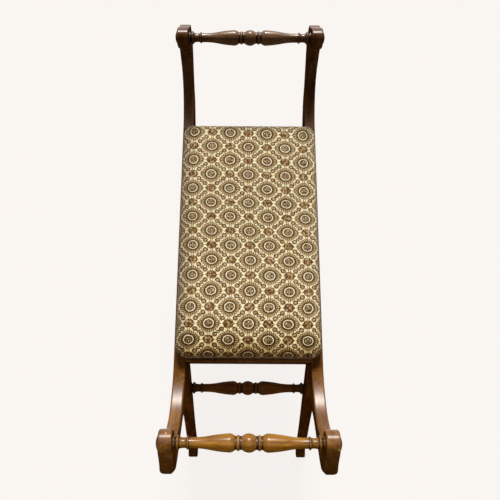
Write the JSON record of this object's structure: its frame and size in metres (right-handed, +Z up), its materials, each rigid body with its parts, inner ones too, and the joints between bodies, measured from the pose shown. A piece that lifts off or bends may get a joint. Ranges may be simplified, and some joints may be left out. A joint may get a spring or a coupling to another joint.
{
  "type": "bench",
  "caption": "Long scroll-ended bench with swept arms, sabre legs, turned ball-and-vase grips and stretchers, and a patterned upholstered seat.",
  "frame": {"origin": "on the floor under the middle of the bench", "axes": "+Z up, +Y along the bench towards its far end, +X across it to the right"},
  "size_m": [0.368, 1.126, 0.6341],
  "materials": {
    "frame_wood": "varnished brown hardwood, worn edges",
    "turned_wood": "varnished turned hardwood",
    "inner_wood": "raw planed beech",
    "screw_steel": "plain steel screws",
    "tack_steel": "blued upholstery tacks",
    "webbing": "jute webbing",
    "hessian": "open hessian weave",
    "stuffing": "felted stuffing",
    "seat_fabric": "woven tapestry with repeating medallions",
    "bottom_cloth": "black dust cloth"
  },
  "bodies": {
    "root": {"arm_far_right": "frame_wood", "leg_far_right": "frame_wood", "boss_far_right": "turned_wood", "corner_block_far_right": "inner_wood", "arm_far_left": "frame_wood", "leg_far_left": "frame_wood", "boss_far_left": "turned_wood", "corner_block_far_left": "inner_wood", "arm_near_right": "frame_wood", "leg_near_right": "frame_wood", "boss_near_right": "turned_wood", "corner_block_near_right": "inner_wood", "arm_near_left": "frame_wood", "leg_near_left": "frame_wood", "boss_near_left": "turned_wood", "corner_block_near_left": "inner_wood", "side_rail_right": "frame_wood", "seat_frame_right": "inner_wood", "side_rail_left": "frame_wood", "seat_frame_left": "inner_wood", "end_rail_far": "frame_wood", "grip_far": "turned_wood", "stretcher_far": "turned_wood", "seat_frame_far": "inner_wood", "end_rail_near": "frame_wood", "grip_near": "turned_wood", "stretcher_near": "turned_wood", "seat_frame_near": "inner_wood", "arm_dowels": "inner_wood", "leg_dowels": "inner_wood", "end_rail_dowels": "inner_wood", "corner_block_screws": "screw_steel", "seat_screws": "screw_steel", "cover_tacks": "tack_steel", "webbing_long": "webbing", "webbing_cross": "webbing", "hessian": "hessian", "seat_stuffing": "stuffing", "seat_cover": "seat_fabric", "bottom_cloth": "bottom_cloth"}
  },
  "joints": []
}
